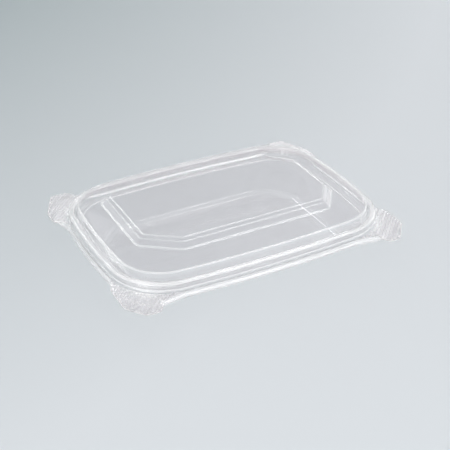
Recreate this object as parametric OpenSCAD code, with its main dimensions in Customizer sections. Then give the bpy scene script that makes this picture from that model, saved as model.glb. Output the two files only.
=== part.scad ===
// Clear side dish container: a shallow tray and a separate lid, each one thermoformed sheet.
// The long side runs along X and the short side along Y. The tray's base stands on Z = 0.
// A ring is a closed loop of points, the same number in every ring, and each shell is lofted
// from ring to ring: outwards over its upper face, then back inwards under its lower face.
// A place on the rim is an inset, measured inwards from the outer face of the tray's bead.

/* [Sheet] */
// Thickness of the formed sheet
sheet = 0.3; // [0.25:0.05:0.5]
// Clearance between the lid and the tray's rim
fit_gap = 0.25; // [0.2:0.05:0.35]

/* [Rim outline] */
// Length over the outer faces of the tray's bead
rim_l = 175; // [150:1:200]
// Width over the outer faces of the tray's bead
rim_w = 126.2; // [110:0.2:140]
// Corner radius of the bead
rim_r = 32.5; // [28:0.5:38]
// Turn of a short side from its middle to its corner, in degrees, which makes it bow outwards
short_turn = 5; // [3:0.5:6]
// Turn of a long side from its middle to its corner, in degrees
long_turn = 4; // [2:0.5:5]

/* [Tray] */
// Height of the bead's top above the base
bead_h = 25; // [22:0.5:32]
// Width of the bead across its top
bead_w = 2.6; // [2.2:0.1:3.4]
// Size of the bead's edge bevels
bead_edge = 0.5; // [0.3:0.1:0.7]
// Inside length of the floor
floor_l = 135.4; // [125:0.2:142]
// Inside width of the floor
floor_w = 88.4; // [80:0.2:92]
// Legs of the 45 degree cuts at the floor's corners
floor_cut = 16; // [10:0.5:20]
// Radius where the floor's sides bend into the corner cuts
floor_bend = 7; // [3:0.5:10]
// Size of the bevel between floor and wall
floor_cove = 1.6; // [0.8:0.1:2.5]
// Depth of the seat ledge below the bead's top
ledge_drop = 6.4; // [5.2:0.2:8]
// Inset of the ledge's inner edge
ledge_inset = 7.6; // [6.5:0.1:8.5]

/* [Rim skirt and flange] */
// Depth of the outward step in the skirt below the bead's top
step_drop = 3; // [2.4:0.1:3.4]
// How far the step stands out
step_out = 0.4; // [0.2:0.1:0.6]
// Depth of the tray's flange below the bead's top
flange_drop = 5.6; // [5:0.1:6.2]
// How far the lid's flange stands out from the bead along the sides
lid_flange_out = 2; // [1.8:0.1:2.6]
// How far the tray's flange stands out before its lip turns down
tray_flange_out = 1.3; // [1.1:0.1:1.5]
// How far the foot of the tray's lip stands out
lip_out = 2.1; // [1.8:0.1:2.6]
// Height of the tray's turned down lip
lip_h = 3.4; // [2:0.2:4.5]

/* [Corner tabs] */
// How far each tab stands out at the short sides, from the back right corner counterclockwise
tab_out_x = [7, 7, 4, 6]; // [3:0.1:9]
// How far a tab stands out from the bead at the long sides
tab_out_y = 9.6; // [6:0.1:11]
// Distance from the long centre line at which a tab starts on a short side
tab_from_y = 38; // [36:0.5:42]
// Distance from the short centre line at which a tab starts on a long side
tab_from_x = 70.5; // [67:0.5:73]
// Leg of each tab's corner cut along X, from the back right corner counterclockwise
tab_cut_x = [9, 9, 8.5, 11.5]; // [6:0.5:13]
// Leg of each tab's corner cut along Y, from the back right corner counterclockwise
tab_cut_y = [20, 20, 11.5, 14.5]; // [8:0.5:22]
// How far a tab slopes down from the flange to its outer edge
tab_droop = 0.8; // [0:0.1:1.5]

/* [Lid] */
// Depth of the lid's inner channel below its ridge
channel_drop = 2.6; // [1.5:0.1:3.2]
// Width of the channel's floor
channel_w = 0.7; // [0.5:0.1:1]
// Height of the lid's shoulder above its ridge
shoulder_h = 3.8; // [2.5:0.1:6]
// Inset of the shoulder's outer edge
shoulder_inset = 5; // [4.8:0.1:6]
// Size of the bevel at the shoulder's outer edge
shoulder_edge = 0.6; // [0.3:0.1:0.9]
// Length of the raised panel at its foot
panel_l = 133; // [120:1:142]
// Width of the raised panel at its foot
panel_w = 76.4; // [68:0.2:88]
// Height of the panel's steep lower bevel
bevel_low_h = 3.6; // [2:0.1:5]
// Run of the panel's steep lower bevel
bevel_low_run = 2.7; // [1.5:0.1:4]
// Height of the panel's flatter upper bevel
bevel_top_h = 1.6; // [0.8:0.1:3]
// Run of the panel's flatter upper bevel
bevel_top_run = 2.3; // [1.5:0.1:3]
// Corner cuts of the panel along X, from the back right corner counterclockwise
panel_cut_x = [16, 6, 22, 13]; // [6:0.5:24]
// Corner cuts of the panel along Y, from the back right corner counterclockwise
panel_cut_y = [18, 6, 16, 18]; // [6:0.5:20]
// Radius where the panel's sides bend into its corner cuts
panel_bend = 5.5; // [5:0.5:8]

/* [Hidden] */

// Points in one quarter of a ring: along half of each side, and around the corner between them.
side_steps = [0.2, 0.6];
corner_points = 18;
smallest_bend = 0.8;

// Distance from the tray's upper face to the lid's upper face, wherever the lid follows the rim.
lid_offset = fit_gap + sheet;

// Wall of the bead leans outwards by this much down to the flange.
skirt_lean = 0.15;
// Height over which the skirt's step spreads, and the foot radius above the flange.
step_h = 0.6;
foot_h = 0.3;

flange_z = bead_h - flange_drop;
ledge_z = bead_h - ledge_drop;
ridge_z = bead_h + lid_offset;
shoulder_z = ridge_z + shoulder_h;
channel_z = ridge_z - channel_drop;
panel_z = shoulder_z + bevel_low_h + bevel_top_h;

// Vectors in a plane
function unit(v) = v / norm(v);
function left_of(v) = [-v[1], v[0]];

// Point q of the path p, q, r moved to the left of the path by t, so both walls keep their thickness.
function mitred(p, q, r, t) =
    let (u = left_of(unit(q - p)), w = left_of(unit(r - q)), m = unit(u + w))
    q + m * t / (m * u);

// Path of insets and heights moved by t, without its first and last points. It runs outwards, so
// its inset falls, and a positive t moves it to its upper face.
function moved_path(path, t) =
    [for (i = [1 : len(path) - 2]) mitred(path[i - 1], path[i], path[i + 1], -t)];

// Rounded rectangle with bowed sides. Each quarter is three arcs that meet without a kink: the
// short side's, the corner's and the long side's. half is the half length and half width.
function side_radii(half, r) =
    let (
        sx = sin(short_turn), cx = cos(short_turn),
        sy = sin(long_turn), cy = cos(long_turn),
        p = half[0] - r * (cx - sy),
        q = half[1] - r * (cy - sx),
        d = (1 - cx) * (1 - cy) - sy * sx
    )
    [(p * (1 - cy) - sy * q) / d, ((1 - cx) * q - sx * p) / d];

// Point of that outline whose outward normal has angle a, from 0 to 90
function rim_point(half, r, a) =
    let (
        radii = side_radii(half, r),
        near = [half[0] - radii[0] * (1 - cos(short_turn)), radii[0] * sin(short_turn)]
    )
    a <= short_turn
        ? [half[0] - radii[0] * (1 - cos(a)), radii[0] * sin(a)]
        : a >= 90 - long_turn
        ? [radii[1] * cos(a), half[1] - radii[1] * (1 - sin(a))]
        : near + r * [cos(a) - cos(short_turn), sin(a) - sin(short_turn)];

function rim_half(inset) = [rim_l / 2 - inset, rim_w / 2 - inset];
function rim_at(inset, a) = rim_point(rim_half(inset), rim_r - inset, a);

// Normal angles of a quarter's points
corner_sweep = 90 - long_turn - short_turn;
corner_angles = [for (i = [0 : corner_points - 1]) short_turn + corner_sweep * i / (corner_points - 1)];
short_angles = [for (s = side_steps) short_turn * s];
long_angles = [for (s = [side_steps[1], side_steps[0]]) 90 - long_turn * s];
quarter_angles = concat(short_angles, corner_angles, long_angles);

function rim_quarter(inset) = [for (a = quarter_angles) rim_at(inset, a)];

// Rectangle with cut corners and rounded bends. cut is the two legs, bend the outer radius, and
// every side moves in by inset.
function cut_quarter(half, cut, bend, inset) =
    let (
        a = half[0] - inset,
        b = half[1] - inset,
        turn = atan2(cut[0], cut[1]),
        n = [cos(turn), sin(turn)],
        reach = n * [half[0], half[1] - cut[1]] - inset,
        r = max(bend - inset, smallest_bend),
        low = [a - r, (reach - r - n[0] * (a - r)) / n[1]],
        high = [(reach - r - n[1] * (b - r)) / n[0], b - r],
        half_points = corner_points / 2,
        steps = [for (i = [0 : half_points - 1]) i / (half_points - 1)]
    )
    concat(
        [for (s = side_steps) [a, low[1] * s]],
        [for (s = steps) low + r * [cos(turn * s), sin(turn * s)]],
        [for (s = steps) high + r * [cos(turn + (90 - turn) * s), sin(turn + (90 - turn) * s)]],
        [for (s = [side_steps[1], side_steps[0]]) [high[0] * s, b]]
    );

// Full ring from its four quarters, counterclockwise. q lists them, each as if it were the first.
function reversed(list) = [for (i = [len(list) - 1 : -1 : 0]) list[i]];
function full_ring(q) = concat(
    q[0],
    [for (p = reversed(q[1])) [-p[0], p[1]]],
    [for (p = q[2]) [-p[0], -p[1]]],
    [for (p = reversed(q[3])) [p[0], -p[1]]]
);
function same_quarters(quarter) = [quarter, quarter, quarter, quarter];

function at_height(ring, z) = [for (p = ring) [p[0], p[1], z]];
function rim_ring(place) = at_height(full_ring(same_quarters(rim_quarter(place[0]))), place[1]);
function floor_ring(place) =
    at_height(
        full_ring(same_quarters(
            cut_quarter([floor_l / 2, floor_w / 2], [floor_cut, floor_cut], floor_bend, place[0])
        )),
        place[1]
    );
function panel_ring(place) =
    at_height(
        full_ring([for (i = [0 : 3])
            cut_quarter(
                [panel_l / 2, panel_w / 2], [panel_cut_x[i], panel_cut_y[i]], panel_bend, place[0]
            )
        ]),
        place[1]
    );

// Flange edge with the tab of one corner. Along the sides it stands out by side_out, and v lists
// the corners of the tab, which are rounded where they point outwards. The edge moves in by t.
tab_step = 3.4;
tab_round = 2.4;
function on_bend(a, v, b, s) = (1 - s) * (1 - s) * a + 2 * s * (1 - s) * v + s * s * b;
function bend_points(u, v, w, count) =
    let (a = v + tab_round * unit(u - v), b = v + tab_round * unit(w - v))
    [for (i = [0 : count - 1]) on_bend(a, v, b, i / (count - 1))];
function between(a, b, count) = [for (i = [1 : count]) a + (b - a) * i / (count + 1)];

// Points of a quarter: the tab's corners take bend_counts, and short_lead and long_lead lie
// between the tab's roots and the ends of the bowed sides.
bend_counts = [2, 2, 3, 2];
tab_points = bend_counts[0] + bend_counts[1] + bend_counts[2] + bend_counts[3];
short_lead = 1;
long_lead = corner_points - 4 - tab_points - short_lead;

function tab_quarter(side_out, t, corner) =
    let (
        side = [rim_l / 2 + side_out, rim_w / 2 + side_out],
        edge = [rim_l / 2 + tab_out_x[corner], rim_w / 2 + tab_out_y],
        v = moved_path([
            [side[0], 0],
            [side[0], tab_from_y],
            [edge[0], tab_from_y + tab_step],
            [edge[0], edge[1] - tab_cut_y[corner]],
            [edge[0] - tab_cut_x[corner], edge[1]],
            [tab_from_x + tab_step, edge[1]],
            [tab_from_x, side[1]],
            [0, side[1]]
        ], -t),
        short_end = rim_at(t - side_out, short_turn),
        long_end = rim_at(t - side_out, 90 - long_turn)
    )
    concat(
        [for (a = short_angles) rim_at(t - side_out, a)],
        [short_end],
        between(short_end, v[0], short_lead),
        [v[0]],
        [for (i = [0 : len(bend_counts) - 1]) each bend_points(v[i], v[i + 1], v[i + 2], bend_counts[i])],
        [v[5]],
        between(v[5], long_end, long_lead),
        [long_end],
        [for (a = long_angles) rim_at(t - side_out, a)]
    );

// The tab's roots are where it leaves the flange along the sides. The points between them are
// the tab's own.
first_root = len(side_steps) + 1 + short_lead;
last_root = first_root + tab_points + 1;
quarter_count = 2 * len(side_steps) + corner_points;
function place_in_quarter(i) =
    let (quarter = floor(i / quarter_count), k = i - quarter * quarter_count)
    quarter % 2 == 0 ? k : quarter_count - 1 - k;
function at_root(i) = let (k = place_in_quarter(i)) k == first_root || k == last_root;
function on_tab(i) = let (k = place_in_quarter(i)) k > first_root && k < last_root;

// Flange edge ring: side_z is its height along the sides, root_z at the tab's roots and tab_z
// around the tab.
function flange_ring(side_out, t, side_z, root_z, tab_z) =
    let (ring = full_ring([for (corner = [0 : 3]) tab_quarter(side_out, t, corner)]))
    [for (i = [0 : len(ring) - 1])
        [ring[i][0], ring[i][1], on_tab(i) ? tab_z : at_root(i) ? root_z : side_z]];

// Shell from its rings, in order: the first and the last are closed by flat fans around a point
// on the Z axis. The triangles between two rings lean away from the middle of every quarter, on
// the upper face and below it, so that the four corners match.
module shell_from(rings) {
    n = len(rings[0]);
    last = len(rings) - 1;
    upper_middle = n * len(rings);
    lower_middle = upper_middle + 1;
    points = concat(
        [for (ring = rings) for (p = ring) p],
        [[0, 0, rings[0][0][2]], [0, 0, rings[last][0][2]]]
    );
    sides = [
        for (k = [0 : last - 1])
        for (i = [0 : n - 1])
        let (
            a = k * n + i,
            b = k * n + (i + 1) % n,
            first_half = i % quarter_count < quarter_count / 2,
            upper = k < last / 2
        )
        each first_half == upper
            ? [[a, b, b + n], [a, b + n, a + n]]
            : [[a, b, a + n], [b, b + n, a + n]]
    ];
    upper_fan = [for (i = [0 : n - 1]) [(i + 1) % n, i, upper_middle]];
    lower_fan = [for (i = [0 : n - 1]) [last * n + i, last * n + (i + 1) % n, lower_middle]];
    polyhedron(points = points, faces = concat(upper_fan, sides, lower_fan), convexity = 8);
}

// Outline of the rim's section, on the tray's upper face, from the ledge to the flange
rim_path = [
    [ledge_inset, ledge_z],
    [bead_w + skirt_lean * 2, ledge_z + foot_h],
    [bead_w, bead_h - bead_edge],
    [bead_w - bead_edge, bead_h],
    [bead_edge, bead_h],
    [0, bead_h - bead_edge],
    [-skirt_lean, bead_h - step_drop],
    [-skirt_lean - step_out, bead_h - step_drop - step_h],
    [-skirt_lean - step_out, flange_z + foot_h],
    [-tray_flange_out + foot_h, flange_z],
    [-tray_flange_out, flange_z]
];

// The wall runs straight from the ledge to the floor. Its direction at either end comes from the
// narrower of the two runs.
wall_run = rim_w / 2 - ledge_inset - floor_w / 2;
wall_rise = ledge_z - sheet;
wall_foot = [0, sheet] + unit([-wall_run, wall_rise]) * floor_cove;

// Tray's floor and cove as insets of the floor outline. The cove's own point is left out of the
// corner, so the wall leaves the floor over a bevel.
floor_path = [
    [floor_cove * 3, sheet],
    [floor_cove, sheet],
    wall_foot,
    wall_foot + [-wall_run, wall_rise]
];
// Tray's rim, led in by the wall and ended by the flange
tray_path = concat([[ledge_inset + wall_run, sheet]], rim_path);

// The tray's flange turns down into its lip at turn_in from its edge. Around the tabs the same
// line runs along the tab's edge, a little above it.
turn_in = lip_out - tray_flange_out;
turn_rise = tab_droop * turn_in / tab_out_y;

module tray() {
    last = len(tray_path) - 1;
    lip_z = flange_z - lip_h;
    tab_z = flange_z - tab_droop;
    upper_floor = [floor_path[1], floor_path[2]];
    lower_floor = moved_path(floor_path, -sheet);
    lower_path = moved_path(concat(tray_path, [[-lip_out, lip_z]]), -sheet);
    lower_turn_in = lip_out - sheet + lower_path[last - 1][0];
    color([0.84, 0.87, 0.88, 0.45])
        shell_from(concat(
            [for (p = upper_floor) floor_ring(p)],
            [for (i = [1 : last - 1]) rim_ring(tray_path[i])],
            [flange_ring(lip_out, turn_in, flange_z, flange_z, tab_z + turn_rise)],
            [flange_ring(lip_out, 0, lip_z, flange_z, tab_z)],
            [flange_ring(lip_out - sheet, 0, lip_z, flange_z - sheet, tab_z - sheet)],
            [flange_ring(lip_out - sheet, lower_turn_in, flange_z - sheet, flange_z - sheet,
                tab_z + turn_rise - sheet)],
            [for (i = [last - 2 : -1 : 0]) rim_ring(lower_path[i])],
            [for (p = reversed(lower_floor)) floor_ring(p)]
        ));
}

// Lid's rim on its upper face, from the top of the bead's inner wall to the flange: the tray's
// rim moved up and outwards
lid_rim = [for (i = [2 : len(rim_path) - 2])
    mitred(rim_path[i - 1], rim_path[i], rim_path[i + 1], -lid_offset)];

// The lid's inner wall runs down beside the bead to the channel, with the bead's own lean.
inner_lean = (rim_path[1][0] - rim_path[2][0]) / (rim_path[2][1] - rim_path[1][1]);
channel_outer = [lid_rim[0][0] + (lid_rim[0][1] - channel_z) * inner_lean, channel_z];
channel_inner = channel_outer + [channel_w, 0];
lid_flange_z = flange_z + lid_offset;

// Raised panel, as insets of its foot outline, between two lead points on its flats
bevel_run = bevel_low_run + bevel_top_run;
panel_path = [
    [bevel_run * 2, panel_z],
    [bevel_run, panel_z],
    [bevel_low_run, shoulder_z + bevel_low_h],
    [0, shoulder_z],
    [-bevel_run, shoulder_z]
];
// Shoulder, channel and rim, between lead points on the shoulder and at the flange's edge
lid_path = concat(
    [
        [shoulder_inset * 2, shoulder_z],
        [shoulder_inset + shoulder_edge, shoulder_z],
        [shoulder_inset, shoulder_z - shoulder_edge],
        channel_inner,
        channel_outer
    ],
    lid_rim,
    [[-lid_flange_out, lid_flange_z]]
);

// The lid's flange follows the line along which the tray's flange turns down below it.
lid_turn_in = lid_flange_out - tray_flange_out;

module lid() {
    tab_z = lid_flange_z - tab_droop;
    lower_z = lid_flange_z - sheet;
    color([0.88, 0.91, 0.92, 0.35])
        shell_from(concat(
            [for (p = moved_path(panel_path, 0)) panel_ring(p)],
            [for (p = moved_path(lid_path, 0)) rim_ring(p)],
            [flange_ring(lid_flange_out, lid_turn_in, lid_flange_z, lid_flange_z, tab_z + turn_rise)],
            [flange_ring(lid_flange_out, 0, lid_flange_z, lid_flange_z, tab_z)],
            [flange_ring(lid_flange_out, 0, lower_z, lower_z, tab_z - sheet)],
            [flange_ring(lid_flange_out, lid_turn_in, lower_z, lower_z, tab_z + turn_rise - sheet)],
            [for (p = reversed(moved_path(lid_path, -sheet))) rim_ring(p)],
            [for (p = reversed(moved_path(panel_path, -sheet))) panel_ring(p)]
        ));
}

tray();
lid();
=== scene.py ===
"""Looks of the clear side dish container: thin shells with rounded bends, knurled tabs, clear plastic."""

import math

import bpy
import numpy as np
from mathutils import Matrix, Vector
from mathutils.bvhtree import BVHTree


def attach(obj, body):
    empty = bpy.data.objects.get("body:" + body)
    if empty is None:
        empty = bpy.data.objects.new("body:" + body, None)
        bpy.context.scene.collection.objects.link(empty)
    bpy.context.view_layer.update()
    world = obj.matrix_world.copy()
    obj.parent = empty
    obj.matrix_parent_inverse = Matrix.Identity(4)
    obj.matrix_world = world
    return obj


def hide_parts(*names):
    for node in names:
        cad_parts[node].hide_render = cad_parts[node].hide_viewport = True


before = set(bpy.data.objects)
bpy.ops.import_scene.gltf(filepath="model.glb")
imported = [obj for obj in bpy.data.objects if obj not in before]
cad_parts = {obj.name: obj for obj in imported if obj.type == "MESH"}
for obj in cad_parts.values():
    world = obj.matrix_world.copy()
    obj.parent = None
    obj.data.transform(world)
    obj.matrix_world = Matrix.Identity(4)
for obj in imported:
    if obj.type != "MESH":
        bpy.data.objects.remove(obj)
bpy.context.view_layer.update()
MM = 0.001

# Sizes in millimetres, the same as the CAD part's
SHEET = 0.3
FIT_GAP = 0.25
RIM_HALF = np.array([87.5, 63.1])
RIM_R = 32.5
SHORT_TURN = 5.0
LONG_TURN = 4.0
BEAD_H = 25.0
BEAD_W = 2.6
BEAD_EDGE = 0.5
FLOOR_HALF = np.array([67.7, 44.2])
FLOOR_CUT = (16.0, 16.0)
FLOOR_BEND = 7.0
FLOOR_COVE = 1.6
LEDGE_Z = BEAD_H - 6.4
LEDGE_INSET = 7.6
STEP_DROP = 3.0
STEP_OUT = 0.4
STEP_H = 0.6
FOOT_H = 0.3
SKIRT_LEAN = 0.15
FLANGE_Z = BEAD_H - 5.6
LID_FLANGE_OUT = 2.0
TRAY_FLANGE_OUT = 1.3
LIP_OUT = 2.1
LIP_H = 3.4
# Tabs from the back right corner counterclockwise, as the mirrored quarters of a ring are
TAB_OUT_X = (7.0, 7.0, 4.0, 6.0)
TAB_OUT_Y = 9.6
TAB_FROM_Y = 38.0
TAB_FROM_X = 70.5
TAB_CUTS = ((9.0, 20.0), (9.0, 20.0), (8.5, 11.5), (11.5, 14.5))
TAB_STEP = 3.4
TAB_ROUND = 2.4
TAB_DROOP = 0.8
LID_OFFSET = FIT_GAP + SHEET
RIDGE_Z = BEAD_H + LID_OFFSET
CHANNEL_Z = RIDGE_Z - 2.6
CHANNEL_W = 0.7
SHOULDER_Z = RIDGE_Z + 3.8
SHOULDER_INSET = 5.0
SHOULDER_EDGE = 0.6
PANEL_HALF = np.array([66.5, 38.2])
BEVEL_LOW = (2.7, 3.6)
BEVEL_TOP = (2.3, 1.6)
PANEL_Z = SHOULDER_Z + BEVEL_LOW[1] + BEVEL_TOP[1]
PANEL_CUTS = ((16.0, 18.0), (6.0, 6.0), (22.0, 16.0), (13.0, 18.0))
PANEL_BEND = 5.5

# Radii of the bends, which the CAD part leaves sharp. A list follows its path, whose ends have none
FLOOR_ROUND = 2.2
TRAY_RIM_ROUNDS = (0, 0.9, 0.7, 0.6, 0.5, 0.5, 0.6, 0.5, 0.4, 0.5, 0.4, 0)
LIP_ROUND = 0.45
LID_RIM_ROUNDS = (0, 0.9, 0.9, 0.5, 0.5, 0.7, 0.7, 0.7, 0.7, 0.6, 0.6, 0.6, 0.5, 0)
PANEL_ROUND = 1.4

# Least radius of an outline's bend beside a cut corner
LEAST_CUT_BEND = 0.8

# How far the faces beside the bends are followed before the next part of the section takes over
FLOOR_LEAD = 6.0
WALL_TAIL = 3.0
LIP_LEAD = 0.5
LID_LEAD = 4.0
LID_RIM_TAIL = 0.2
LID_FLANGE_LEAD = 0.25
LID_EDGE_STEP = 0.1

# Arcs: radians from point to point, the turn below which a corner stays sharp, and the share of the
# legs beside it that an arc may take
ARC_STEP = 0.3
LEAST_TURN = 0.02
LEG_SHARE = 0.48

# Distance of the extra points from the ends of a long leg
GUARD_REACH = 0.35

# Points of one quarter of a ring: half of the short side, the corner, half of the long side
SHORT_POINTS = 12
CORNER_POINTS = 66
LONG_POINTS = 14

# Points of one rounded corner of a tab's edge
TAB_ROUND_POINTS = 9

# Rings between the rim's foot and the first ring of the flange's edge
FLANGE_STEPS = 6

# Normal angles of the rim, in degrees, at which a tab's two roots are joined to it, and the angle
# over which the flange turns into the tab
TAB_ROOTS = (14.0, 60.0)
TAB_BLEND = 2.5

# Pyramids of the knurl: distance, half of the diagonal, height, depth in the sheet and distance to
# the tab's edges
KNURL_PITCH = 1.8
KNURL_HALF = 1.1
KNURL_RISE = 0.14
KNURL_SINK = 0.03
KNURL_MARGIN = 0.9

# Distance in metres from which the sheet under a pyramid is looked for
PROBE_REACH_M = 0.1

# Clear sheet: tint for each face that light crosses, gloss, refraction and its faint waves
TINT = (0.965, 0.949, 0.955)
SHEET_ROUGHNESS = 0.03
SHEET_IOR = 1.575
WAVE_STRENGTH = 0.08
WAVE_SCALE = 55.0
WAVE_DETAIL = 2.0
WAVE_HEIGHT_M = 0.0006

# The knurl mirrors less and blurs more than the sheet, as it is finer than the pyramids made here, and
# its small share of white scatter is partly the haze of that finer texture and partly painted highlight
KNURL_TINT = (0.975, 0.968, 0.970)
KNURL_ROUGHNESS = 0.3
KNURL_IOR = 1.25
KNURL_HAZE_AND_HIGHLIGHT = 0.03

# Painted highlights: share of light that the sheet scatters white in place of the bright lines that
# lamps draw in its bends: per radian of bend in a millimetre, at most in a bend, on steep walls, on
# the rim, more at its corners, beside the cut edge and on it
BEND_HIGHLIGHT = 0.25
MOST_BEND_HIGHLIGHT = 0.35
WALL_HIGHLIGHT = 0.08
RIM_HIGHLIGHT = 0.08
CORNER_HIGHLIGHT = 0.22
LIP_HIGHLIGHT = 0.22
EDGE_HIGHLIGHT = 0.5

# Least distance over which a bend is measured, angle over which the painted highlight of a corner
# falls off, in degrees, the upward part of a normal below which a wall starts to be steep, and the
# change in it that makes the wall fully steep
LEAST_BEND_GAP = 0.05
CORNER_REACH = 14.0
STEEP_FROM = 0.45
STEEP_SPAN = 0.3

# Where this much light or more is scattered, the sheet is painted white as a highlight; light
# straight through it has the same white
HIGHLIGHT_WHITE_FROM = 0.07
WHITE = (0.99, 0.99, 0.99)

# Painted shade: a darker tint for the rim's hollow bends, standing in for the dark lines that
# refraction draws there, how far in they are looked for, and the rings on each side of the cut edge
# that belong to the flange, which has none
HOLLOW_SHADE_TINT = (0.9, 0.9, 0.9)
HOLLOW_INSET = 4.7
FLANGE_RINGS = 8

# Floor, in metres: half of its width, how far it lies below the tray, and the place, turn and size
# of the deeper shade at its far left
STAGE_HALF_M = 1.25
STAGE_SINK_M = 0.0002
STAGE_ROUGHNESS = 0.9
STAGE_GLOSS = 0.1
STAGE_PALE = (0.698, 0.740, 0.757)
STAGE_DEEP = (0.330, 0.402, 0.408)
SHADE_PLACE = (-0.19, 1.347, 0)
SHADE_TURN = -28
SHADE_SIZE = (1.1, 1.7, 1)
SHADE_FULL = 0.5

# Studio: upward part of a direction and the colour there, low and high, and the colour that the
# eye sees past the floor
STUDIO_LOW = (0.10, (1.5, 1.5, 1.5))
STUDIO_HIGH = (0.28, (0.51, 0.50, 0.52))
STUDIO_SEEN = (0.66, 0.71, 0.73)

# Distance of every lamp, in metres
LAMP_DISTANCE_M = 1.3

# Lamps that light the object and show in no reflection: their size in metres and the way one side
# runs, and of each its name, direction and glow
LAMP_SIZE_M = (0.5, 0.5)
LAMP_ALONG = (0.3, 1, 0)
LAMPS = (
    ("key", (0.1, 0.15, 1), 1.3),
    ("front", (0.1, -1, 0.6), 7.2),
    ("left", (-1, -0.2, 0.5), 5.0),
    ("right", (1, 0.3, 0.5), 3.2),
    ("back", (0, 1, 0.6), 1.8),
)

# Camera, in metres and millimetres of lens
EYE = (-0.2471, -0.4692, 0.3350)
TARGET = (-0.0085, -0.0198, 0.02555)
LENS = 80

# Direction of view, and its length without its part along X and without its part along Y
VIEW = (0.40, 0.755, -0.52)
VIEW_ACROSS_X = 0.917
VIEW_ACROSS_Y = 0.656

# Strips that only reflections show: name, side of the rim whose bends mirror it to the eye, angle
# around that side in degrees, size in metres and glow
STRIPS = (
    ("strip_front_low", "front", 63, (0.74, 0.18), 8),
    ("strip_front_high", "front", 122, (0.74, 0.18), 8),
    ("strip_left_low", "left", 92, (0.7, 0.15), 8),
    ("strip_left_high", "left", 142, (0.7, 0.10), 8),
    ("strip_back", "front", 12, (1.0, 0.12), 4.5),
    ("strip_right", "left", 18, (0.8, 0.10), 6),
)

# Faint soft box low on the right, which the tray's left wall mirrors: name, direction, way the first
# side runs, size in metres and glow
SHEEN = ("sheen_right", (0.945, 0.21, 0.25), (0, 0, 1), (0.5, 0.7), 1.0)

# Share of the half width of a soft box over which its glow fades
FADE = 0.5

# A line of sight through the rim crosses eight sheets, each with two faces
BOUNCES = 32


def unit(v):
    return v / np.linalg.norm(v)


def moved(path, t):
    """Open path moved by t to its left, with mitred corners. Its two end points move straight out."""
    path = np.asarray(path, float)
    legs = [unit(b - a) for a, b in zip(path, path[1:])]
    legs = [legs[0]] + legs + [legs[-1]]
    out = []
    for p, before, after in zip(path, legs, legs[1:]):
        u = np.array([-before[1], before[0]])
        w = np.array([-after[1], after[0]])
        m = unit(u + w)
        out.append(p + m * t / (m @ u))
    return np.array(out)


def filleted(path, radii):
    """Path whose inner corners are turned into arcs. A radius is limited by the legs beside it."""
    path = [np.asarray(p, float) for p in path]
    out = [path[0]]
    for i in range(1, len(path) - 1):
        before, after = path[i - 1] - path[i], path[i + 1] - path[i]
        u, w = unit(before), unit(after)
        turn = math.pi - math.acos(max(-1.0, min(1.0, float(u @ w))))
        if turn < LEAST_TURN or radii[i] == 0:
            out.append(path[i])
            continue
        tangent = math.tan(turn / 2)
        reach = min(radii[i] * tangent, LEG_SHARE * min(np.linalg.norm(before), np.linalg.norm(after)))
        radius = reach / tangent
        centre = path[i] + unit(u + w) * math.hypot(radius, reach)
        start, end = path[i] + u * reach - centre, path[i] + w * reach - centre
        count = max(3, int(round(turn / ARC_STEP)) + 1)
        for k in range(count):
            s = k / (count - 1)
            mix = (math.sin((1 - s) * turn) * start + math.sin(s * turn) * end) / math.sin(turn)
            out.append(centre + mix)
    out.append(path[-1])
    return np.array(out)


def guarded(path):
    """Path with an extra point beside each end of its long legs, which keeps their shading flat."""
    out = [path[0]]
    for a, b in zip(path, path[1:]):
        length = np.linalg.norm(b - a)
        if length > 3 * GUARD_REACH:
            out.append(a + (b - a) * GUARD_REACH / length)
            out.append(b - (b - a) * GUARD_REACH / length)
        out.append(b)
    return np.array(out)


def side_radii(half, r):
    """Radii of the bowed short and long sides that meet a corner of radius r smoothly."""
    sx, cx = math.sin(math.radians(SHORT_TURN)), math.cos(math.radians(SHORT_TURN))
    sy, cy = math.sin(math.radians(LONG_TURN)), math.cos(math.radians(LONG_TURN))
    p = half[0] - r * (cx - sy)
    q = half[1] - r * (cy - sx)
    d = (1 - cx) * (1 - cy) - sy * sx
    return (p * (1 - cy) - sy * q) / d, ((1 - cx) * q - sx * p) / d


def rim_at(inset, degrees):
    """Point of the bowed rim outline, moved in by inset, whose outward normal has this angle."""
    half, r = RIM_HALF - inset, RIM_R - inset
    short_r, long_r = side_radii(half, r)
    a, turn = math.radians(degrees), math.radians(SHORT_TURN)
    if degrees <= SHORT_TURN:
        return np.array([half[0] - short_r * (1 - math.cos(a)), short_r * math.sin(a)])
    if degrees >= 90 - LONG_TURN:
        return np.array([long_r * math.cos(a), half[1] - long_r * (1 - math.sin(a))])
    near = np.array([half[0] - short_r * (1 - math.cos(turn)), short_r * math.sin(turn)])
    return near + r * np.array([math.cos(a) - math.cos(turn), math.sin(a) - math.sin(turn)])


def quarter_angles():
    """Normal angles of a quarter's points, in degrees."""
    sides = (np.arange(SHORT_POINTS) + 0.5) / SHORT_POINTS * SHORT_TURN
    sweep = 90 - LONG_TURN - SHORT_TURN
    corner = SHORT_TURN + (np.arange(CORNER_POINTS) + 0.5) / CORNER_POINTS * sweep
    longs = 90 - LONG_TURN + (np.arange(LONG_POINTS) + 0.5) / LONG_POINTS * LONG_TURN
    return np.concatenate([sides, corner, longs])


ANGLES = quarter_angles()

# Signs of X and Y in the four corners, from the back right one counterclockwise
FLIPS = ((1, 1), (-1, 1), (-1, -1), (1, -1))


def full(quarters):
    """Ring from four quarters, each given as if it were the first, counterclockwise."""
    parts = []
    for i, q in enumerate(quarters):
        q = q * np.array(FLIPS[i])
        parts.append(q[::-1] if i % 2 else q)
    return np.concatenate(parts)


def whole_ring(shares):
    """Values for a whole ring from those for a quarter's points."""
    return np.tile(np.concatenate([shares, shares[::-1]]), 2)


def level(ring, z):
    return np.column_stack([ring, np.broadcast_to(z, len(ring))])


def rim_ring(inset, z):
    q = np.array([rim_at(inset, a) for a in ANGLES])
    return level(full([q] * 4), z)


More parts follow.
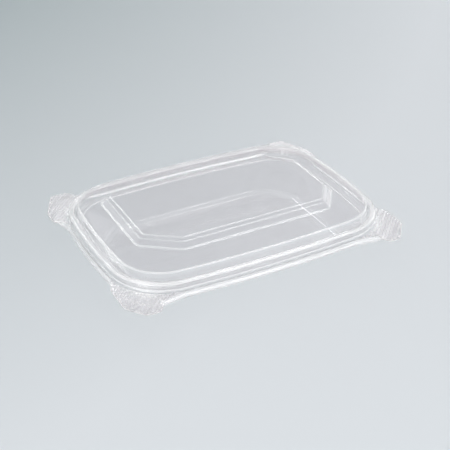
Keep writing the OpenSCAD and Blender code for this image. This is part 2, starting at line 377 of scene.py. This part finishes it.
def cut_quarter(half, cut, bend, inset):
    """Rectangle with a cut corner and rounded bends, moved in by inset."""
    a, b = half - inset
    turn = math.atan2(cut[0], cut[1])
    n = np.array([math.cos(turn), math.sin(turn)])
    reach = n @ np.array([half[0], half[1] - cut[1]]) - inset
    r = max(bend - inset, LEAST_CUT_BEND)
    low = np.array([a - r, (reach - r - n[0] * (a - r)) / n[1]])
    high = np.array([(reach - r - n[1] * (b - r)) / n[0], b - r])
    first = CORNER_POINTS // 2
    out = [[a, low[1] * (k + 0.5) / SHORT_POINTS] for k in range(SHORT_POINTS)]
    for s in np.linspace(0, 1, first):
        out.append(low + r * np.array([math.cos(turn * s), math.sin(turn * s)]))
    for s in np.linspace(0, 1, CORNER_POINTS - first):
        v = turn + (math.pi / 2 - turn) * s
        out.append(high + r * np.array([math.cos(v), math.sin(v)]))
    out += [[high[0] * (1 - (k + 0.5) / LONG_POINTS), b] for k in range(LONG_POINTS)]
    return np.array(out)


def cut_ring(half, cuts, bend, inset, z):
    return level(full([cut_quarter(half, c, bend, inset) for c in cuts]), z)


def tab_line(side_out, t, corner):
    """Edge of the flange at one corner, as if it were the first, with a point per rim angle."""
    side = RIM_HALF + side_out
    edge = RIM_HALF + np.array([TAB_OUT_X[corner], TAB_OUT_Y])
    cut = TAB_CUTS[corner]
    v = moved(
        [
            [side[0], 0],
            [side[0], TAB_FROM_Y],
            [edge[0], TAB_FROM_Y + TAB_STEP],
            [edge[0], edge[1] - cut[1]],
            [edge[0] - cut[0], edge[1]],
            [TAB_FROM_X + TAB_STEP, edge[1]],
            [TAB_FROM_X, side[1]],
            [0, side[1]],
        ],
        t,
    )
    line = [v[1]]
    for i in range(2, 6):
        p, q, r = v[i - 1], v[i], v[i + 1]
        a, b = q + TAB_ROUND * unit(p - q), q + TAB_ROUND * unit(r - q)
        for s in np.linspace(0, 1, TAB_ROUND_POINTS):
            line.append((1 - s) ** 2 * a + 2 * s * (1 - s) * q + s * s * b)
    line.append(v[6])
    line = np.array(line)
    ways = np.concatenate([[0], np.cumsum(np.linalg.norm(np.diff(line, axis=0), axis=1))])
    share = ways / ways[-1]
    short_end, long_end = rim_at(t - side_out, SHORT_TURN), rim_at(t - side_out, 90 - LONG_TURN)
    out = []
    for a in ANGLES:
        if a <= SHORT_TURN or a >= 90 - LONG_TURN:
            out.append(rim_at(t - side_out, a))
        elif a < TAB_ROOTS[0]:
            out.append(short_end + (v[1] - short_end) * (a - SHORT_TURN) / (TAB_ROOTS[0] - SHORT_TURN))
        elif a > TAB_ROOTS[1]:
            out.append(v[6] + (long_end - v[6]) * (a - TAB_ROOTS[1]) / (90 - LONG_TURN - TAB_ROOTS[1]))
        else:
            s = (a - TAB_ROOTS[0]) / (TAB_ROOTS[1] - TAB_ROOTS[0])
            out.append(np.array([np.interp(s, share, line[:, k]) for k in (0, 1)]))
    return np.array(out)


def tab_share():
    """How far each point of a quarter belongs to the tab: 0 along the sides, 1 on the tab."""
    rise = (ANGLES - TAB_ROOTS[0]) / TAB_BLEND
    fall = (TAB_ROOTS[1] - ANGLES) / TAB_BLEND
    s = np.clip(np.minimum(rise, fall), 0, 1)
    return s * s * (3 - 2 * s)


def flange_ring(side_out, t, side_z, tab_z):
    share = whole_ring(tab_share())
    ring = full([tab_line(side_out, t, corner) for corner in range(len(FLIPS))])
    return level(ring, side_z + (tab_z - side_z) * share)


def ring_haze(rings):
    """Painted highlight of each point, as a share of white scatter, and painted shade of hollow rim
    bends.
    """
    r = np.array(rings)
    across = r[1:] - r[:-1]
    along = np.roll(r, -1, axis=1) - np.roll(r, 1, axis=1)
    normals = np.cross(across, along[:-1])
    normals /= np.maximum(np.linalg.norm(normals, axis=2, keepdims=True), 1e-9)
    turn = np.arccos(np.clip((normals[1:] * normals[:-1]).sum(axis=2), -1, 1))
    gaps = np.linalg.norm(across, axis=2)
    haze = np.zeros(r.shape[:2])
    # Painted highlight: each bend is painted white in proportion to how sharply it turns
    bend = turn / np.maximum((gaps[1:] + gaps[:-1]) / 2, LEAST_BEND_GAP)
    haze[1:-1] = np.minimum(BEND_HIGHLIGHT * bend, MOST_BEND_HIGHLIGHT)
    # Painted highlight on steep walls, and more beside the cut edge and on it
    steep = np.clip((STEEP_FROM - np.abs(normals[:, :, 2])) / STEEP_SPAN, 0, 1)
    haze[:-1] = np.maximum(haze[:-1], WALL_HIGHLIGHT * steep)
    edge = len(r) // 2
    haze[edge - 2:edge + 2] = np.maximum(haze[edge - 2:edge + 2], LIP_HIGHLIGHT)
    haze[edge - 1:edge + 1] = EDGE_HIGHLIGHT
    # A bend is hollow where the upper face's normals close in, outwards or, on the way back, inwards
    opening = ((normals[1:] - normals[:-1]) * across[1:]).sum(axis=2)
    opening[edge:] *= -1
    on_rim = np.abs(r[1:-1, :, 0]).max(axis=1, keepdims=True) > RIM_HALF[0] - HOLLOW_INSET
    # The first ring has no place in on_rim, so its places are one lower than the rings'
    on_rim[edge - FLANGE_RINGS - 1:edge + FLANGE_RINGS - 1] = False
    # Painted shade: the rim's hollow bends are painted grey, the more the sharper they turn
    hollow = np.zeros_like(haze)
    hollow[1:-1] = np.where((opening < 0) & on_rim, haze[1:-1] / MOST_BEND_HIGHLIGHT, 0)
    # Painted highlight over the whole rim, stronger at its corners, and none where shade is painted
    corner = whole_ring(np.exp(-(((ANGLES - 45) / CORNER_REACH) ** 2)))
    haze[1:-1] = np.maximum(haze[1:-1], (RIM_HIGHLIGHT + CORNER_HIGHLIGHT * corner) * on_rim)
    haze[hollow > 0] = 0
    return haze.reshape(-1), hollow.reshape(-1)


def mesh_piece(name, points, faces, body, slot, material, node=None, **shares):
    """Piece that rides on a body, from points in millimetres, with named values for each point."""
    mesh = bpy.data.meshes.new(name)
    mesh.from_pydata((np.asarray(points) * MM).tolist(), [], faces)
    mesh.shade_smooth()
    mesh.materials.append(material)
    for key, values in shares.items():
        attribute = mesh.attributes.new(key, "FLOAT", "POINT")
        attribute.data.foreach_set("value", np.asarray(values, np.float32))
    piece = bpy.data.objects.new(name, mesh)
    bpy.context.scene.collection.objects.link(piece)
    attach(piece, body)
    if node:
        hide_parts(node)
    return piece


def shell(name, rings, body, slot, material, node):
    """Closed shell through its rings, outwards over its upper face and back under it."""
    n = len(rings[0])
    points = np.concatenate(rings + [[[0, 0, rings[0][0][2]], [0, 0, rings[-1][0][2]]]])
    last = len(rings) - 1
    faces = []
    for k in range(last):
        for i in range(n):
            j = (i + 1) % n
            faces.append((k * n + i, (k + 1) * n + i, (k + 1) * n + j, k * n + j))
    for i in range(n):
        j = (i + 1) % n
        faces.append((i, j, n * len(rings)))
        faces.append((last * n + j, last * n + i, n * len(rings) + 1))
    # Painted highlight and painted shade of every point, none at the two middle points
    haze, hollow = (np.concatenate([share, [0, 0]]) for share in ring_haze(rings))
    return mesh_piece(name, points, faces, body, slot, material, node, haze=haze, hollow=hollow)


def holds(outline, p):
    """Whether a point of the first quarter lies between the middle and an outline."""
    ring = np.concatenate([[[0, 0]], outline])
    after = np.roll(ring, -1, axis=0)
    crossed = (ring[:, 1] > p[1]) != (after[:, 1] > p[1])
    rise = np.where(crossed, after[:, 1] - ring[:, 1], 1)
    x = ring[:, 0] + (p[1] - ring[:, 1]) / rise * (after[:, 0] - ring[:, 0])
    return np.count_nonzero(crossed & (x > p[0])) % 2 == 1


def knurl(name, shell_piece, side_out, up, body, slot, material):
    """Small flat pyramids in diagonal rows on the outer face of the four tabs."""
    mesh = shell_piece.data
    sheet = BVHTree.FromPolygons([v.co for v in mesh.vertices], [f.vertices for f in mesh.polygons])
    inside = np.array([rim_at(-TRAY_FLANGE_OUT - KNURL_MARGIN, a) for a in ANGLES])
    points, faces = [], []
    pitch = KNURL_PITCH / math.sqrt(2)
    count = int((RIM_HALF[0] + max(TAB_OUT_X)) / pitch) + 1
    for corner, (flip_x, flip_y) in enumerate(FLIPS):
        outside = tab_line(side_out, KNURL_MARGIN, corner)
        for i in range(count):
            for j in range(i % 2, count, 2):
                spot = np.array([i, j]) * pitch
                if not holds(outside, spot) or holds(inside, spot):
                    continue
                start = Vector((spot[0] * flip_x * MM, spot[1] * flip_y * MM, PROBE_REACH_M * up))
                place, normal, _, _ = sheet.ray_cast(start, Vector((0, 0, -up)))
                if place is None:
                    continue
                a = (Vector((1, 0, 0)) - normal * normal.x).normalized()
                b = normal.cross(a)
                base = place - normal * KNURL_SINK * MM
                first = len(points)
                points += [base + way * KNURL_HALF * MM for way in (a, b, -a, -b)]
                points.append(place + normal * KNURL_RISE * MM)
                faces += [(first + k, first + (k + 1) % 4, first + 4) for k in range(4)]
                faces.append((first + 3, first + 2, first + 1, first))
    points = np.array([list(p) for p in points]) / MM
    # The knurl's share is partly haze of its finer texture and partly painted highlight
    piece = mesh_piece(name, points, faces, body, slot, material, haze=np.full(len(points), KNURL_HAZE_AND_HIGHLIGHT))
    piece.data.shade_flat()
    return piece


def blended(a, b):
    """Rings that lead from one ring to another across the flange."""
    return [a + (b - a) * k / (FLANGE_STEPS + 1) for k in range(1, FLANGE_STEPS + 1)]


# Section of the rim on the tray's upper face, as insets and heights
RIM_PATH = np.array([
    [LEDGE_INSET, LEDGE_Z],
    [BEAD_W + SKIRT_LEAN * 2, LEDGE_Z + FOOT_H],
    [BEAD_W, BEAD_H - BEAD_EDGE],
    [BEAD_W - BEAD_EDGE, BEAD_H],
    [BEAD_EDGE, BEAD_H],
    [0, BEAD_H - BEAD_EDGE],
    [-SKIRT_LEAN, BEAD_H - STEP_DROP],
    [-SKIRT_LEAN - STEP_OUT, BEAD_H - STEP_DROP - STEP_H],
    [-SKIRT_LEAN - STEP_OUT, FLANGE_Z + FOOT_H],
    [FOOT_H - TRAY_FLANGE_OUT, FLANGE_Z],
    [-TRAY_FLANGE_OUT, FLANGE_Z],
])


def tray_rings():
    """Rings of the tray from the floor's upper face out to the cut edge and back below."""
    run = RIM_HALF[1] - LEDGE_INSET - FLOOR_HALF[1]
    rise = LEDGE_Z - SHEET
    slope = unit(np.array([-run, rise]))
    foot = np.array([0, SHEET]) + slope * FLOOR_COVE
    floor_path = filleted(
        [[FLOOR_LEAD, SHEET], [FLOOR_COVE, SHEET], foot, foot + slope * FLOOR_LEAD],
        [0, FLOOR_ROUND, FLOOR_ROUND, 0],
    )
    wall_top = [LEDGE_INSET, LEDGE_Z] - slope * WALL_TAIL
    rim = guarded(filleted(np.concatenate([[wall_top], RIM_PATH]), TRAY_RIM_ROUNDS))
    # Where a lower face starts, both paths move down by the sheet
    low_floor = moved(floor_path, SHEET)
    low_rim = moved(rim, SHEET)
    lip_top = -TRAY_FLANGE_OUT
    lip = filleted(
        [[lip_top + LIP_LEAD, FLANGE_Z], [lip_top, FLANGE_Z], [-LIP_OUT, FLANGE_Z - LIP_H]],
        [0, LIP_ROUND, 0],
    )
    low_lip = moved(lip, SHEET)

    def flange(path, drop):
        rings = []
        for inset, z in path:
            t = LIP_OUT + inset
            fall = TAB_DROOP * max(0.0, 1 - t / TAB_OUT_Y)
            rings.append(flange_ring(LIP_OUT, t, z, FLANGE_Z - fall - drop))
        return rings

    upper_edge = flange(lip[1:], 0)
    lower_edge = flange(low_lip[1:], SHEET)
    foot_up = rim_ring(*rim[-1])
    foot_low = rim_ring(*low_rim[-1])
    floor_up = [cut_ring(FLOOR_HALF, [FLOOR_CUT] * 4, FLOOR_BEND, i, z) for i, z in floor_path]
    floor_low = [cut_ring(FLOOR_HALF, [FLOOR_CUT] * 4, FLOOR_BEND, i, z) for i, z in low_floor]
    return (
        floor_up
        + [rim_ring(i, z) for i, z in rim[1:]]
        + blended(foot_up, upper_edge[0])
        + upper_edge
        + lower_edge[::-1]
        + blended(lower_edge[0], foot_low)
        + [rim_ring(i, z) for i, z in low_rim[1:]][::-1]
        + floor_low[::-1]
    )


def lid_rings():
    """Rings of the lid from the panel's upper face out to the cut edge and back below."""
    rim = moved(RIM_PATH, -LID_OFFSET)[2:10]
    lean = (RIM_PATH[1][0] - RIM_PATH[2][0]) / (RIM_PATH[2][1] - RIM_PATH[1][1])
    outer = np.array([rim[0][0] + (rim[0][1] - CHANNEL_Z) * lean, CHANNEL_Z])
    path = np.concatenate([
        [
            [SHOULDER_INSET + LID_LEAD, SHOULDER_Z],
            [SHOULDER_INSET + SHOULDER_EDGE, SHOULDER_Z],
            [SHOULDER_INSET, SHOULDER_Z - SHOULDER_EDGE],
            outer + [CHANNEL_W, 0],
            outer,
        ],
        rim,
        [[-TRAY_FLANGE_OUT - LID_RIM_TAIL, FLANGE_Z + LID_OFFSET]],
    ])
    path = guarded(filleted(path, LID_RIM_ROUNDS))
    low_path = moved(path, SHEET)
    run = BEVEL_LOW[0] + BEVEL_TOP[0]
    panel = guarded(filleted(
        [
            [run + LID_LEAD, PANEL_Z],
            [run, PANEL_Z],
            [BEVEL_LOW[0], SHOULDER_Z + BEVEL_LOW[1]],
            [0, SHOULDER_Z],
            [-LID_LEAD, SHOULDER_Z],
        ],
        [0, PANEL_ROUND, PANEL_ROUND, PANEL_ROUND, 0],
    ))
    low_panel = moved(panel, SHEET)
    lid_z = FLANGE_Z + LID_OFFSET

    def flange(z, outs):
        rings = []
        for out in outs:
            t = LID_FLANGE_OUT - out
            fall = TAB_DROOP * max(0.0, 1 - t / TAB_OUT_Y)
            rings.append(flange_ring(LID_FLANGE_OUT, t, z, z - fall))
        return rings

    outs = [TRAY_FLANGE_OUT + LID_FLANGE_LEAD, LID_FLANGE_OUT - LID_EDGE_STEP, LID_FLANGE_OUT]
    upper_edge = flange(lid_z, outs)
    lower_edge = flange(lid_z - SHEET, outs)
    foot_up, foot_low = rim_ring(*path[-1]), rim_ring(*low_path[-1])
    return (
        [cut_ring(PANEL_HALF, PANEL_CUTS, PANEL_BEND, i, z) for i, z in panel]
        + [rim_ring(i, z) for i, z in path]
        + blended(foot_up, upper_edge[0])
        + upper_edge
        + lower_edge[::-1]
        + blended(lower_edge[0], foot_low)
        + [rim_ring(i, z) for i, z in low_path][::-1]
        + [cut_ring(PANEL_HALF, PANEL_CUTS, PANEL_BEND, i, z) for i, z in low_panel][::-1]
    )


def ramp_between(tree, low, high):
    """Colour ramp with two stops, each a position and a colour."""
    ramp = tree.nodes.new("ShaderNodeValToRGB")
    for stop, (position, colour) in zip(ramp.color_ramp.elements, (low, high)):
        stop.position = position
        stop.color = (*colour, 1)
    return ramp


def share_at_point(tree, name):
    """Output with one of the values that the mesh holds for each point."""
    node = tree.nodes.new("ShaderNodeAttribute")
    node.attribute_name = name
    return node.outputs["Fac"]


def add_tint(tree, glass, tint, haze):
    """Tint painted white where light is scattered (painted highlight) and grey in hollow bends (painted
    shade).
    """
    # Painted highlight: the tint turns white where the scattered share is high
    whiter = ramp_between(tree, (0, tint), (HIGHLIGHT_WHITE_FROM, WHITE))
    darker = tree.nodes.new("ShaderNodeMix")
    darker.data_type = "RGBA"
    # Painted shade: grey in the rim's hollow bends
    darker.inputs["B"].default_value = (*HOLLOW_SHADE_TINT, 1)
    tree.links.new(haze, whiter.inputs["Fac"])
    tree.links.new(share_at_point(tree, "hollow"), darker.inputs["Factor"])
    tree.links.new(whiter.outputs["Color"], darker.inputs["A"])
    tree.links.new(darker.outputs["Result"], glass.inputs["Base Color"])


def add_waves(tree, glass):
    """Faint waves that forming leaves in the sheet."""
    place = tree.nodes.new("ShaderNodeTexCoord")
    noise = tree.nodes.new("ShaderNodeTexNoise")
    noise.inputs["Scale"].default_value = WAVE_SCALE
    noise.inputs["Detail"].default_value = WAVE_DETAIL
    bump = tree.nodes.new("ShaderNodeBump")
    bump.inputs["Strength"].default_value = WAVE_STRENGTH
    bump.inputs["Distance"].default_value = WAVE_HEIGHT_M
    tree.links.new(place.outputs["Object"], noise.inputs["Vector"])
    tree.links.new(noise.outputs["Fac"], bump.inputs["Height"])
    tree.links.new(bump.outputs["Normal"], glass.inputs["Normal"])


def open_to_lamps(tree, seen):
    """The shader seen, through which light from lamps and light that the floor gathers pass straight."""
    path = tree.nodes.new("ShaderNodeLightPath")
    gap = tree.nodes.new("ShaderNodeBsdfTransparent")
    gap.inputs["Color"].default_value = (*WHITE, 1)
    for ray in ("Is Diffuse Ray", "Is Shadow Ray"):
        mix = tree.nodes.new("ShaderNodeMixShader")
        tree.links.new(path.outputs[ray], mix.inputs[0])
        tree.links.new(seen, mix.inputs[1])
        tree.links.new(gap.outputs[0], mix.inputs[2])
        seen = mix.outputs[0]
    return seen


def clear_plastic(name, tint, roughness, ior):
    """Clear thermoformed sheet that refracts light, scattering a share white as painted highlights."""
    material = bpy.data.materials.new(name)
    material.use_nodes = True
    tree = material.node_tree
    tree.nodes.clear()
    out = tree.nodes.new("ShaderNodeOutputMaterial")
    glass = tree.nodes.new("ShaderNodeBsdfPrincipled")
    glass.inputs["Roughness"].default_value = roughness
    glass.inputs["IOR"].default_value = ior
    # The socket's own value is that of a sheet without painted highlight, and the link takes that share
    # off it
    glass.inputs["Transmission Weight"].default_value = 1.0
    haze = share_at_point(tree, "haze")
    clear = tree.nodes.new("ShaderNodeMath")
    clear.operation = "SUBTRACT"
    clear.inputs[0].default_value = 1.0
    tree.links.new(haze, clear.inputs[1])
    tree.links.new(clear.outputs[0], glass.inputs["Transmission Weight"])
    add_tint(tree, glass, tint, haze)
    add_waves(tree, glass)
    tree.links.new(open_to_lamps(tree, glass.outputs[0]), out.inputs["Surface"])
    return material


def add_floor():
    """Plain pale floor, a little darker towards the far left."""
    material = bpy.data.materials.new("backdrop")
    material.use_nodes = True
    tree = material.node_tree
    paint = tree.nodes["Principled BSDF"]
    paint.inputs["Roughness"].default_value = STAGE_ROUGHNESS
    paint.inputs["Specular IOR Level"].default_value = STAGE_GLOSS
    place = tree.nodes.new("ShaderNodeTexCoord")
    mapping = tree.nodes.new("ShaderNodeMapping")
    mapping.vector_type = "TEXTURE"
    mapping.inputs["Location"].default_value = SHADE_PLACE
    mapping.inputs["Rotation"].default_value = (0, 0, math.radians(SHADE_TURN))
    mapping.inputs["Scale"].default_value = SHADE_SIZE
    shade = tree.nodes.new("ShaderNodeTexGradient")
    shade.gradient_type = "SPHERICAL"
    ramp = ramp_between(tree, (0, STAGE_PALE), (SHADE_FULL, STAGE_DEEP))
    tree.links.new(place.outputs["Object"], mapping.inputs["Vector"])
    tree.links.new(mapping.outputs["Vector"], shade.inputs["Vector"])
    tree.links.new(shade.outputs["Fac"], ramp.inputs["Fac"])
    tree.links.new(ramp.outputs["Color"], paint.inputs["Base Color"])
    mesh = bpy.data.meshes.new("backdrop")
    signs = ((-1, -1), (1, -1), (1, 1), (-1, 1))
    corners = [(x * STAGE_HALF_M, y * STAGE_HALF_M, -STAGE_SINK_M) for x, y in signs]
    mesh.from_pydata(corners, [], [(0, 1, 2, 3)])
    mesh.materials.append(material)
    floor = bpy.data.objects.new("backdrop", mesh)
    bpy.context.scene.collection.objects.link(floor)


def add_light(name, direction, along, size, glow):
    """Soft lamp that faces the object, with the first side of its size along a given axis."""
    data = bpy.data.lights.new(name, "AREA")
    data.shape = "RECTANGLE"
    data.size = size[0]
    data.size_y = size[1]
    data.energy = glow * math.pi * size[0] * size[1]
    back = Vector(direction).normalized()
    side = (Vector(along) - back * back.dot(Vector(along))).normalized()
    lamp = bpy.data.objects.new(name, data)
    lamp.matrix_world = Matrix((side, back.cross(side), back)).transposed().to_4x4()
    lamp.location = back * LAMP_DISTANCE_M
    lamp.visible_camera = False
    bpy.context.scene.collection.objects.link(lamp)
    return lamp


def add_soft_box(name, direction, along, size, glow):
    """Lamp seen only in reflections, whose glow fades out towards its edges."""
    lamp = add_light(name, direction, along, size, glow)
    lamp.visible_diffuse = False
    lamp.data.use_nodes = True
    tree = lamp.data.node_tree
    place = tree.nodes.new("ShaderNodeNewGeometry")
    # The lamp's own coordinates run from 0 to 1, and the fade needs them from -1 to 1
    centred = tree.nodes.new("ShaderNodeMapping")
    centred.inputs["Location"].default_value = (-1, -1, 0)
    centred.inputs["Scale"].default_value = (2, 2, 0)
    fade = tree.nodes.new("ShaderNodeTexGradient")
    fade.gradient_type = "SPHERICAL"
    ramp = ramp_between(tree, (0, (0, 0, 0)), (FADE, (1, 1, 1)))
    ramp.color_ramp.interpolation = "EASE"
    tree.links.new(place.outputs["Parametric"], centred.inputs["Vector"])
    tree.links.new(centred.outputs["Vector"], fade.inputs["Vector"])
    tree.links.new(fade.outputs["Fac"], ramp.inputs["Fac"])
    tree.links.new(ramp.outputs["Color"], tree.nodes["Emission"].inputs["Strength"])


def add_strip(name, side, degrees, size, glow):
    """Long soft box at the place that a bend of one side of the rim mirrors to the eye."""
    a = math.radians(degrees)
    if side == "front":
        direction = (VIEW[0], VIEW_ACROSS_X * math.cos(a), VIEW_ACROSS_X * math.sin(a))
        along = (1, 0, 0)
    else:
        direction = (VIEW_ACROSS_Y * math.cos(a), VIEW[1], VIEW_ACROSS_Y * math.sin(a))
        along = (0, 1, 0)
    add_soft_box(name, direction, along, size, glow)


def add_lamps():
    for name, direction, glow in LAMPS:
        lamp = add_light(name, direction, LAMP_ALONG, LAMP_SIZE_M, glow)
        lamp.visible_glossy = False
        lamp.visible_transmission = False
    for strip in STRIPS:
        add_strip(*strip)
    add_soft_box(*SHEEN)


def add_world():
    """Studio: bright near the horizon, dimmer where flat faces mirror it, and as the floor to the eye."""
    world = bpy.data.worlds.new("studio")
    bpy.context.scene.world = world
    world.use_nodes = True
    tree = world.node_tree
    back = tree.nodes["Background"]
    back.inputs["Strength"].default_value = 1.0
    place = tree.nodes.new("ShaderNodeTexCoord")
    parts = tree.nodes.new("ShaderNodeSeparateXYZ")
    ramp = ramp_between(tree, STUDIO_LOW, STUDIO_HIGH)
    tree.links.new(place.outputs["Generated"], parts.inputs[0])
    tree.links.new(parts.outputs["Z"], ramp.inputs["Fac"])
    path = tree.nodes.new("ShaderNodeLightPath")
    either = tree.nodes.new("ShaderNodeMath")
    either.operation = "MAXIMUM"
    mix = tree.nodes.new("ShaderNodeMix")
    mix.data_type = "RGBA"
    mix.inputs["B"].default_value = (*STUDIO_SEEN, 1)
    tree.links.new(path.outputs["Is Camera Ray"], either.inputs[0])
    tree.links.new(path.outputs["Is Transmission Ray"], either.inputs[1])
    tree.links.new(either.outputs[0], mix.inputs["Factor"])
    tree.links.new(ramp.outputs["Color"], mix.inputs["A"])
    tree.links.new(mix.outputs["Result"], back.inputs["Color"])


def add_camera():
    """Camera at the photo's angle."""
    data = bpy.data.cameras.new("camera")
    data.lens = LENS
    data.sensor_width = 36
    data.sensor_fit = "HORIZONTAL"
    data.clip_start = 0.01
    data.clip_end = 50
    camera = bpy.data.objects.new("camera", data)
    camera.location = EYE
    camera.rotation_euler = (Vector(TARGET) - Vector(EYE)).to_track_quat("-Z", "Y").to_euler()
    bpy.context.scene.collection.objects.link(camera)
    bpy.context.scene.camera = camera


tray_look = clear_plastic("clear_tray", TINT, SHEET_ROUGHNESS, SHEET_IOR)
lid_look = clear_plastic("clear_lid", TINT, SHEET_ROUGHNESS, SHEET_IOR)
knurl_look = clear_plastic("clear_knurl", KNURL_TINT, KNURL_ROUGHNESS, KNURL_IOR)
tray = shell("tray_shell", tray_rings(), "tray", "clear_tray", tray_look, "tray")
lid = shell("lid_shell", lid_rings(), "lid", "clear_lid", lid_look, "lid")
knurl("tray_knurl", tray, LIP_OUT, -1, "tray", "clear_tray", knurl_look)
knurl("lid_knurl", lid, LID_FLANGE_OUT, 1, "lid", "clear_lid", knurl_look)
add_floor()
add_world()
add_lamps()
add_camera()

scene = bpy.context.scene
scene.view_settings.view_transform = "Standard"
scene.cycles.max_bounces = BOUNCES
scene.cycles.transmission_bounces = BOUNCES
scene.cycles.transparent_max_bounces = BOUNCES
